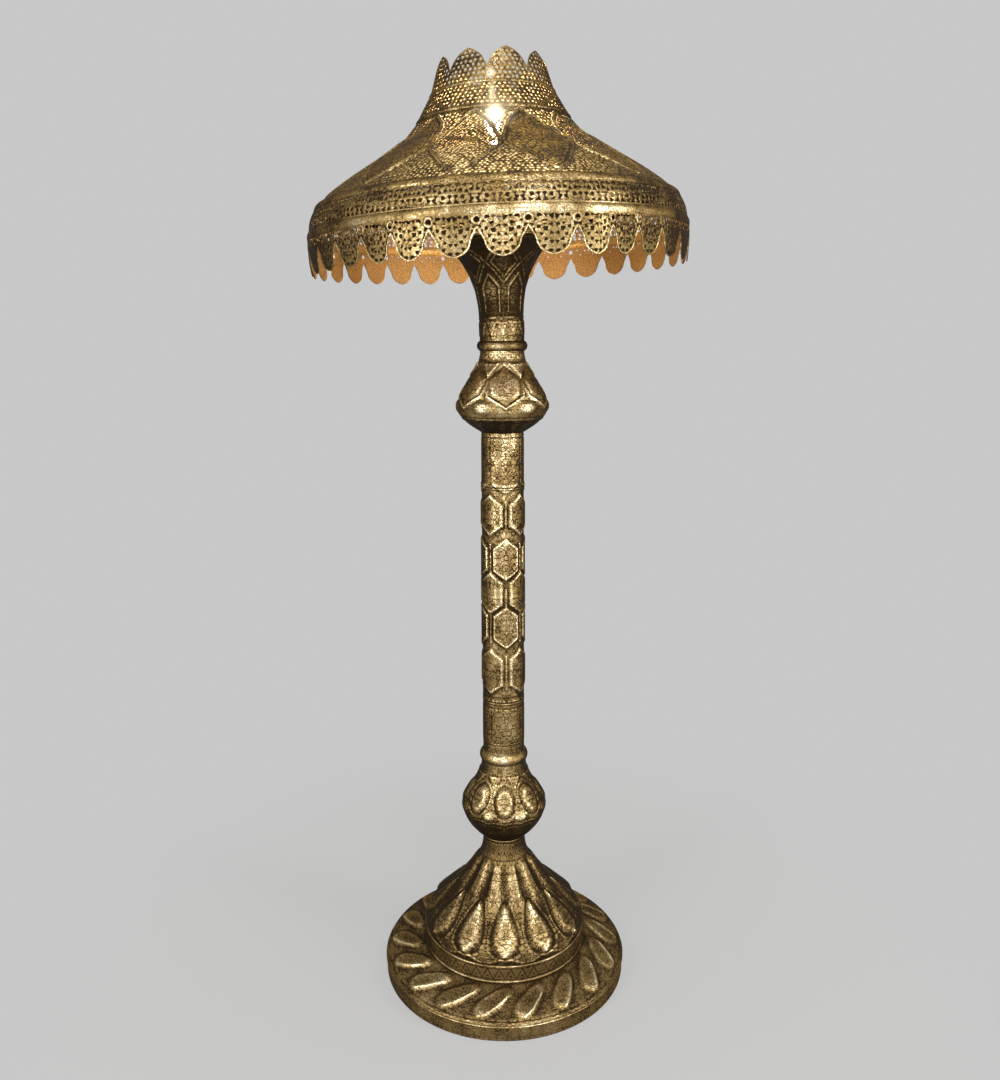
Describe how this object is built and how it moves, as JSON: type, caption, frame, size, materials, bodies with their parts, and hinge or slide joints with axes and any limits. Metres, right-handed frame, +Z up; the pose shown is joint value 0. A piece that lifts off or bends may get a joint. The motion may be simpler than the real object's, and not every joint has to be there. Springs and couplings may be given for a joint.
{
  "type": "floor lamp",
  "caption": "Tall antique-style brass floor lamp: disc foot, bell, knopped column, flared neck and a wide pierced bell-shaped shade with a scalloped edge and an open crown.",
  "frame": {"origin": "centre of the foot, on the floor", "axes": "+Z up the column; -Y towards the viewer; the top leans slightly towards -X"},
  "size_m": [0.6148, 0.6146, 1.6023],
  "materials": {
    "chased_brass": "antique brass, chased and raised from behind, dark in the hollows",
    "plain_brass": "antique brass, smooth and rubbed bright",
    "shade_brass": "antique brass, pierced and engraved",
    "shade_trim": "antique brass, smooth, rubbed bright",
    "fitting_brass": "satin brass",
    "steel": "zinc-plated",
    "cover_paint": "black paint, matt",
    "iron": "rough casting",
    "felt": "green felt",
    "rubber": "matt",
    "white_plastic": "moulded",
    "dark_plastic": "phenolic",
    "liner_card": "pressed card",
    "bulb_metal": "rolled thread",
    "bulb_glass": "frosted, lit"
  },
  "bodies": {
    "stand": {"base_pan": "chased_brass", "base_collar": "chased_brass", "base_bell": "chased_brass", "lower_knop_bowl": "chased_brass", "lower_knop_dome": "chased_brass", "column_tube": "chased_brass", "upper_knop_bowl": "chased_brass", "upper_knop_dome": "chased_brass", "neck_band": "chased_brass", "trumpet": "chased_brass", "rim_bead": "plain_brass", "collar_bead_low": "plain_brass", "collar_bead_top": "plain_brass", "lower_ring": "plain_brass", "upper_ring": "plain_brass", "trumpet_rim": "plain_brass", "trumpet_cap": "plain_brass", "socket_cap": "fitting_brass", "socket_shell": "fitting_brass", "screw_shell": "fitting_brass", "centre_contact": "fitting_brass", "top_locknut": "fitting_brass", "carrier_nut": "fitting_brass", "centre_pipe": "steel", "bottom_nut": "steel", "bottom_washer": "steel", "top_washer": "steel", "carrier_washer": "steel", "base_spacer": "steel", "clamp_plate": "steel", "cover_screws": "steel", "base_cover": "cover_paint", "base_weight": "iron", "felt_pad": "felt", "cord_grommet": "rubber", "lamp_lead": "rubber", "terminal_block": "white_plastic", "switch_block": "dark_plastic", "socket_liner": "liner_card"},
    "knob": {"switch_knob": "dark_plastic"},
    "bulb": {"bulb_cap": "bulb_metal", "bulb_contact": "fitting_brass", "bulb_glass": "bulb_glass"},
    "carrier": {"carrier_hub": "fitting_brass", "carrier_arm_1": "fitting_brass", "carrier_arm_2": "fitting_brass", "carrier_arm_3": "fitting_brass", "carrier_ring": "fitting_brass"},
    "shade": {"shade_skirt": "shade_brass", "shade_belt": "shade_trim", "shade_frieze": "shade_brass", "shade_moulding": "shade_trim", "shade_flange": "shade_trim", "shade_dome": "shade_brass", "dome_ridge": "shade_trim", "crown_band": "shade_brass", "crown_wire": "shade_trim", "crown": "shade_brass"}
  },
  "joints": [
    {"name": "switch_turn", "type": "hinge", "parent": "stand", "child": "knob", "pos_m": [0.01627, 0, 1.43677], "axis": [0.9993, 0, 0.0366], "continuous": true},
    {"name": "bulb_unscrew", "type": "slide", "parent": "stand", "child": "bulb", "axis": [-0.0366, 0, 0.9993], "range_m": [0, 0.2]},
    {"name": "carrier_turn", "type": "hinge", "parent": "stand", "child": "carrier", "pos_m": [-0.00766, 0, 1.37986], "axis": [-0.0366, 0, 0.9993], "continuous": true},
    {"name": "shade_lift", "type": "slide", "parent": "carrier", "child": "shade", "axis": [-0.0366, 0, 0.9993], "range_m": [0, 0.32]}
  ]
}
